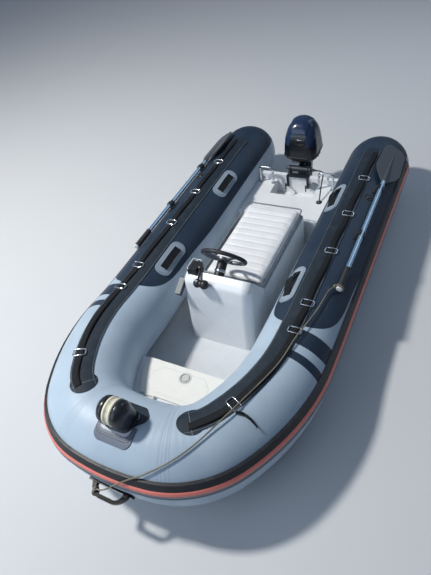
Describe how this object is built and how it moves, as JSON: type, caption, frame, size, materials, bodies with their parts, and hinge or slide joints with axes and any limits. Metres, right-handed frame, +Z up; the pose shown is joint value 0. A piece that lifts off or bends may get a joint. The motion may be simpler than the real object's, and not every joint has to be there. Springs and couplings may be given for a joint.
{
  "type": "inflatable RIB boat",
  "caption": "Rigid inflatable tender with a grey and charcoal tube collar, white console and seat, oars, bow roller and a tilting, steering outboard motor.",
  "frame": {"origin": "on the centreline at the waterline, amidships", "axes": "+X to the bow, +Y to port, +Z up; z = 0 is the water's surface with the boat afloat"},
  "size_m": [3.3378, 1.62, 1.1713],
  "materials": {
    "grey_pvc": "coated fabric, satin",
    "charcoal_pvc": "coated fabric, satin",
    "strake_rubber": "moulded, satin",
    "red_insert": "ribbed, satin",
    "black_webbing": "woven",
    "chrome": "polished",
    "black_rubber": "moulded, satin",
    "black_plastic": "moulded, satin",
    "gloss_black_plastic": "gloss",
    "cream_plastic": "moulded",
    "white_gelcoat": "gelcoat",
    "white_vinyl": "pleated vinyl",
    "grey_plastic": "moulded",
    "stainless": "polished",
    "oar_aluminium": "anodised, satin",
    "blade_plastic": "moulded, satin",
    "motor_paint": "gloss",
    "navy_cowl": "high gloss",
    "cream_rope": "twisted line"
  },
  "bodies": {
    "boat": {"collar_port": "grey_pvc", "collar_starboard": "grey_pvc", "collar_bow": "grey_pvc", "end_cone_port": "charcoal_pvc", "end_cone_starboard": "charcoal_pvc", "rub_strake": "strake_rubber", "rub_strake_insert": "red_insert", "grab_band_port": "charcoal_pvc", "grab_band_starboard": "charcoal_pvc", "grab_webbing_port": "black_webbing", "grab_webbing_starboard": "black_webbing", "grab_rings_port": "chrome", "grab_rings_starboard": "chrome", "handle_pads": "grey_pvc", "handle_straps": "black_rubber", "chafe_pad": "grey_pvc", "bow_patch": "black_rubber", "bow_roller_housing": "black_plastic", "bow_handle": "gloss_black_plastic", "hull_shell": "white_gelcoat", "floor_liner": "white_gelcoat", "transom_board": "white_gelcoat", "aft_deck": "white_gelcoat", "bow_locker": "white_gelcoat", "lid_hinges": "stainless", "console_shell": "white_gelcoat", "seat_box": "white_gelcoat", "seat_cushion": "white_vinyl", "helm_column": "black_plastic", "throttle_box": "black_plastic", "throttle_lever": "black_plastic", "stern_rails": "stainless", "transom_disc": "grey_plastic", "oar_shafts": "oar_aluminium", "oar_grips": "black_rubber", "oar_blades": "blade_plastic", "oar_clips": "black_plastic", "clamp_bracket": "motor_paint", "steering_cable": "black_rubber", "cable_gland": "black_rubber", "painter": "cream_rope", "painter_knots": "cream_rope", "console_bar": "grey_plastic"},
    "locker_lid": {"bow_locker_lid": "white_gelcoat", "lid_latch": "stainless"},
    "roller": {"bow_roller": "cream_plastic"},
    "wheel": {"steering_wheel": "black_rubber"},
    "motor_swivel": {"swivel_bracket": "motor_paint"},
    "motor": {"motor_leg": "motor_paint", "gearcase": "motor_paint", "cowl_pan": "black_plastic", "upper_cowl": "navy_cowl", "engine_block": "motor_paint"},
    "propeller": {"propeller": "motor_paint"}
  },
  "joints": [
    {"name": "lid_hinge", "type": "hinge", "parent": "boat", "child": "locker_lid", "pos_m": [1.093, 0, 0.2455], "axis": [0, 1, 0], "range_deg": [0, 70]},
    {"name": "roller_spin", "type": "hinge", "parent": "boat", "child": "roller", "pos_m": [1.40696, 0, 0.65131], "axis": [0, 1, 0], "continuous": true},
    {"name": "wheel_turn", "type": "hinge", "parent": "boat", "child": "wheel", "pos_m": [0.24375, 0, 0.54791], "axis": [-0.8387, 0, 0.5446], "range_deg": [-540, 540]},
    {"name": "motor_tilt", "type": "hinge", "parent": "boat", "child": "motor_swivel", "pos_m": [-1.146, 0, 0.306], "axis": [0, 1, 0], "range_deg": [0, 60]},
    {"name": "motor_steer", "type": "hinge", "parent": "motor_swivel", "child": "motor", "pos_m": [-1.205, 0, 0.135], "axis": [0, 0, 1], "range_deg": [-35, 35]},
    {"name": "propeller_spin", "type": "hinge", "parent": "motor", "child": "propeller", "pos_m": [-1.432, 0, -0.3], "axis": [1, 0, 0], "continuous": true}
  ],
  "couplings": [
    {"joint": "wheel_turn", "follows": "motor_steer", "ratio": -15}
  ]
}
